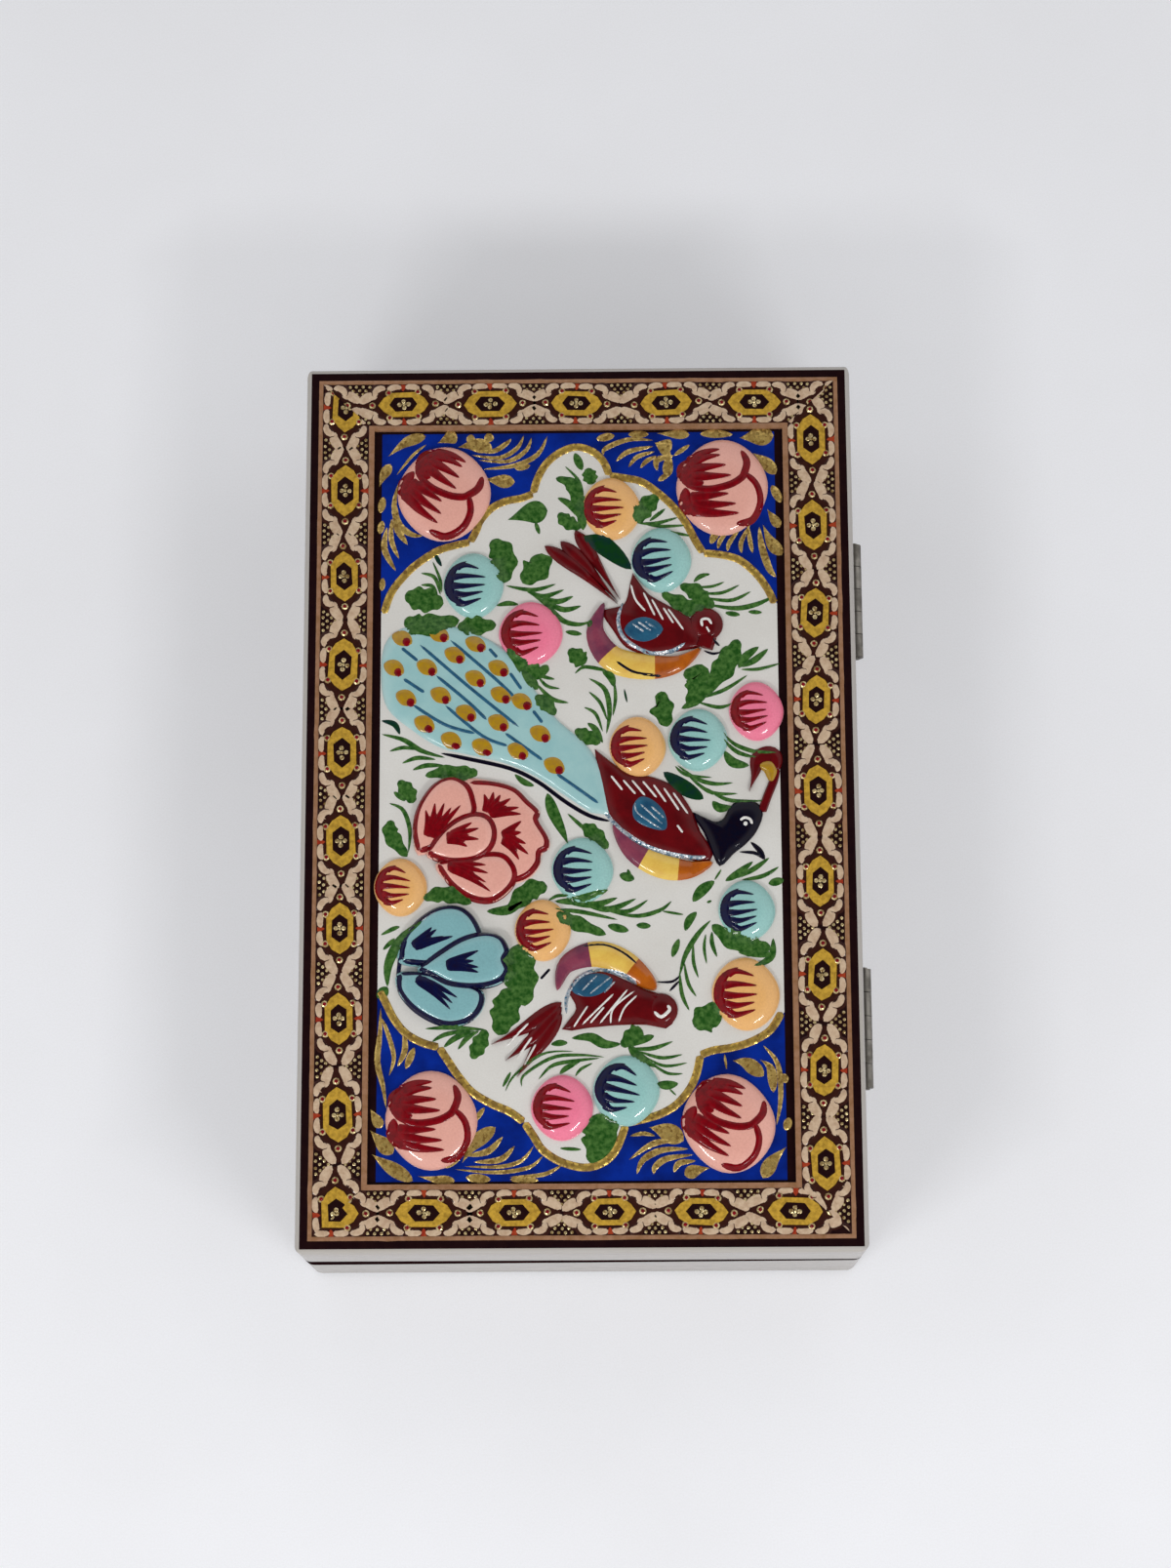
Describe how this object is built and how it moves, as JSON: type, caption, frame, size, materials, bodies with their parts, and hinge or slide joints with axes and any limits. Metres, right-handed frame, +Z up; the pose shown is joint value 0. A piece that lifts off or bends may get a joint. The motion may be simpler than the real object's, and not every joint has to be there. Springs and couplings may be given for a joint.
{
  "type": "inlaid keepsake box",
  "caption": "Low rectangular keepsake box with a hinged lid, a mosaic-inlaid border, pale rounded edging and a raised, lacquered flower-and-bird picture.",
  "frame": {"origin": "middle of the underside, where the felt rests", "axes": "+Z up; +X towards the back, where the hinges are, so the -X side opens; +Y along the long side, towards the top of the picture"},
  "size_m": [0.1228, 0.195, 0.0474],
  "materials": {
    "pale_edging": "polished bone-coloured edging under clear lacquer",
    "dark_line": "near-black rosewood under gloss lacquer",
    "tan_line": "tan veneer line under gloss lacquer",
    "mosaic": "marquetry of ochre, bone, red, black and brass slivers under gloss lacquer",
    "panel_ivory": "ivory-coloured plate, painted in cobalt and gold, under gloss lacquer",
    "bud_corner": "raised paste painted pale pink and dark red, glossy",
    "bud_blue": "raised paste painted pale blue and navy, glossy",
    "bud_orange": "raised paste painted peach and dark red, glossy",
    "bud_pink": "raised paste painted hot pink and crimson, glossy",
    "rose_red": "raised paste painted salmon with dark red lines, glossy",
    "rose_blue": "raised paste painted blue with navy petals, glossy",
    "peacock": "raised paste painted pale blue with ochre eyes, glossy",
    "birds": "raised paste painted dark red, teal and yellow, glossy",
    "carcass_wood": "plain varnished wood",
    "velvet": "dark red velvet",
    "felt": "dark green felt",
    "hinge_metal": "dull plated steel"
  },
  "bodies": {
    "case": {"base_felt": "felt", "base_board": "carcass_wood", "wall_front": "carcass_wood", "wall_back": "carcass_wood", "wall_near_end": "carcass_wood", "wall_far_end": "carcass_wood", "case_band_front": "pale_edging", "case_band_back": "pale_edging", "case_band_near_end": "pale_edging", "case_band_far_end": "pale_edging", "rim_line_front": "dark_line", "rim_line_back": "dark_line", "rim_line_near_end": "dark_line", "rim_line_far_end": "dark_line", "floor_lining": "velvet", "wall_lining": "velvet", "far_hinge_case_leaf": "hinge_metal", "near_hinge_case_leaf": "hinge_metal", "far_hinge_pin": "hinge_metal", "near_hinge_pin": "hinge_metal", "case_hinge_screws": "hinge_metal"},
    "lid": {"lid_board": "carcass_wood", "lid_rail_front": "carcass_wood", "lid_rail_back": "carcass_wood", "lid_rail_near_end": "carcass_wood", "lid_rail_far_end": "carcass_wood", "lid_lining": "velvet", "lid_wall_lining": "velvet", "lid_band_front": "pale_edging", "lid_band_back": "pale_edging", "lid_band_near_end": "pale_edging", "lid_band_far_end": "pale_edging", "edge_strip_front": "pale_edging", "edge_strip_back": "pale_edging", "edge_strip_near_end": "pale_edging", "edge_strip_far_end": "pale_edging", "outer_dark_line": "dark_line", "outer_tan_line": "tan_line", "mosaic_front": "mosaic", "mosaic_back": "mosaic", "mosaic_near_end": "mosaic", "mosaic_far_end": "mosaic", "inner_tan_line": "tan_line", "inner_dark_line": "dark_line", "painted_panel": "panel_ivory", "corner_buds": "bud_corner", "blue_buds": "bud_blue", "orange_buds": "bud_orange", "pink_buds": "bud_pink", "red_rose": "rose_red", "blue_rose": "rose_blue", "peacock_tail": "peacock", "peacock_body": "birds", "upper_bird": "birds", "lower_bird": "birds", "far_hinge_lid_leaf": "hinge_metal", "near_hinge_lid_leaf": "hinge_metal", "lid_hinge_screws": "hinge_metal"}
  },
  "joints": [
    {"name": "lid_hinge", "type": "hinge", "parent": "case", "child": "lid", "pos_m": [0.0612, 0, 0.028], "axis": [0, 1, 0], "range_deg": [0, 105]}
  ]
}
